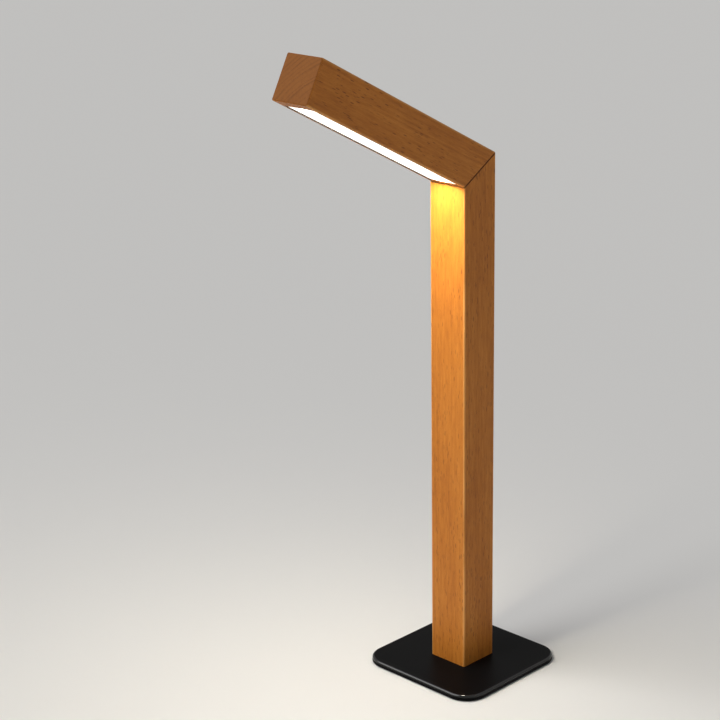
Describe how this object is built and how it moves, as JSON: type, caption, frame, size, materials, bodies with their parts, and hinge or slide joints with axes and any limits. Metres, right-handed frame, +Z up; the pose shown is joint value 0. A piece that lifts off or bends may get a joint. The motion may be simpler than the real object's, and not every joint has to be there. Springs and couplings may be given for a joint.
{
  "type": "cordless bedside lamp",
  "caption": "Cordless bedside lamp: square beech column on a thin black square plate, and a raised beech arm with a light strip under it that swivels on the mitred knee.",
  "frame": {"origin": "middle of the base pad's underside, on the table", "axes": "+Z up along the column, arm towards -Y, charging socket and button on the +Y face, +X to the right seen from the front"},
  "size_m": [0.098, 0.2005, 0.4409],
  "materials": {
    "beech_column": "oiled beech, satin",
    "beech_arm": "oiled beech, satin",
    "beech_cover": "oiled beech, satin",
    "black_coat": "satin black coat on steel",
    "pad_rubber": "matte non-slip sheet",
    "zinc_steel": "zinc plated",
    "black_screw": "blackened steel",
    "turned_brass": "turned",
    "turned_steel": "turned",
    "slip_plastic": "low-friction plastic",
    "panel_plastic": "fine spark texture",
    "button_plastic": "satin",
    "board_laminate": "solder mask",
    "chip_plastic": "matte",
    "plug_nylon": "natural nylon",
    "usb_steel": "bright plated",
    "usb_plastic": "matte",
    "light_pipe": "clear",
    "chip_white": "phosphor on white",
    "cell_wrap": "shrink wrap over a metal can",
    "foam": "closed-cell foam",
    "nickel": "bright strip",
    "lead_red": "insulated lead",
    "lead_black": "insulated lead",
    "cable_jacket": "round jacket",
    "profile_aluminium": "anodised extrusion",
    "light_board": "white solder mask on aluminium",
    "opal": "opal, lit from behind"
  },
  "bodies": {
    "stand": {"column": "beech_column", "rear_cover": "beech_cover", "base_plate": "black_coat", "base_pad": "pad_rubber", "base_screw": "zinc_steel", "locating_pins": "zinc_steel", "control_board_screws": "zinc_steel", "rear_cover_screws": "black_screw", "control_panel_screws": "black_screw", "column_insert": "turned_brass", "swivel_bush": "turned_brass", "bush_ring_nut": "turned_brass", "disc_spring": "turned_steel", "thrust_washer": "slip_plastic", "control_panel": "panel_plastic", "control_board": "board_laminate", "board_components": "chip_plastic", "switch_body": "chip_plastic", "board_sockets": "plug_nylon", "battery_plug": "plug_nylon", "cable_plug": "plug_nylon", "usb_shell": "usb_steel", "usb_tongue": "usb_plastic", "indicator_lens": "light_pipe", "indicator_chip": "chip_white", "battery_cell": "cell_wrap", "battery_pads": "foam", "battery_tabs": "nickel", "battery_lead_positive": "lead_red", "battery_lead_negative": "lead_black", "cable_lower": "cable_jacket"},
    "arm": {"arm": "beech_arm", "led_profile": "profile_aluminium", "led_board": "light_board", "led_board_screws": "zinc_steel", "led_chips": "chip_white", "diffuser": "opal", "cable_upper": "cable_jacket", "swivel_spindle": "turned_steel", "spindle_screws": "zinc_steel", "stop_pin": "zinc_steel", "swivel_nut": "turned_steel"},
    "button": {"power_button": "button_plastic", "switch_plunger": "plug_nylon"}
  },
  "joints": [
    {"name": "arm_swivel", "type": "hinge", "parent": "stand", "child": "arm", "pos_m": [0, 0, 0.35101], "axis": [0, -0.515, 0.8572], "range_deg": [-165, 165]},
    {"name": "button_press", "type": "slide", "parent": "stand", "child": "button", "axis": [0, -1, 0], "range_m": [0, 0.0008], "stiffness_N_per_m": 1000, "springref_m": -0.0006}
  ]
}
